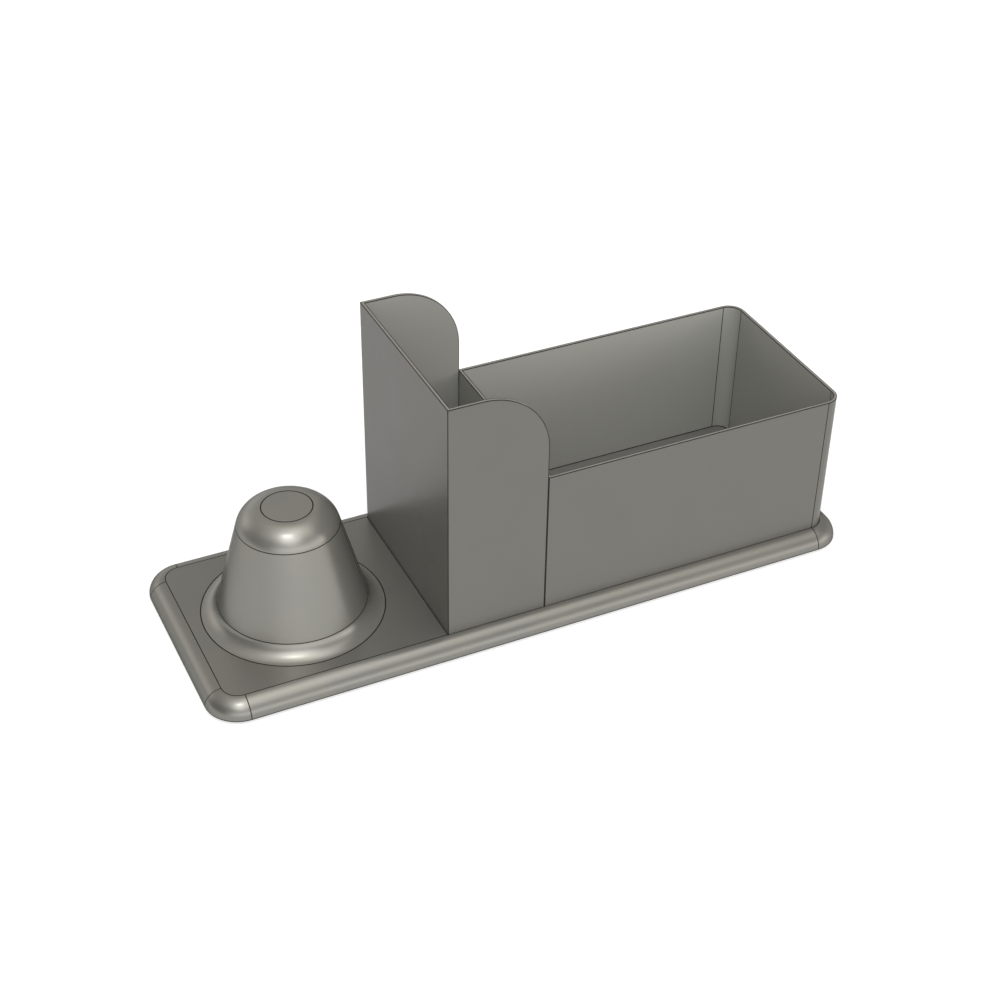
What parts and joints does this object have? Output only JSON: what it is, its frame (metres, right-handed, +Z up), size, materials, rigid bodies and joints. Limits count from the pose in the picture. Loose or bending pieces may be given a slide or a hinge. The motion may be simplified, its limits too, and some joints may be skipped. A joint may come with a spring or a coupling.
{
  "type": "coffee station organizer",
  "caption": "Long low base with a round top edge, a tall open-sided holder, an open bin that lifts out, and a hollow dome shaped like an upturned pod.",
  "frame": {"origin": "middle of the footprint, on the surface that the feet stand on", "axes": "+X along the base from the dome to the bin, +Y to the back, +Z up"},
  "size_m": [0.4, 0.14, 0.162],
  "materials": {
    "satin_metal": "satin, finely blasted, warm grey",
    "foot_rubber": "matt black rubber",
    "screw_steel": "plain steel"
  },
  "bodies": {
    "base": {"base_tray": "satin_metal", "base_cover": "satin_metal", "foot_front_left": "foot_rubber", "foot_front_right": "foot_rubber", "foot_back_left": "foot_rubber", "foot_back_right": "foot_rubber", "cover_screws": "screw_steel", "holder": "satin_metal", "holder_screws": "screw_steel", "pod_shell": "satin_metal", "pod_disc": "satin_metal", "pod_screws": "screw_steel"},
    "bin": {"bin": "satin_metal"}
  },
  "joints": [
    {"name": "bin_lift", "type": "slide", "parent": "base", "child": "bin", "axis": [0, 0, 1], "range_m": [0, 0.16]}
  ]
}
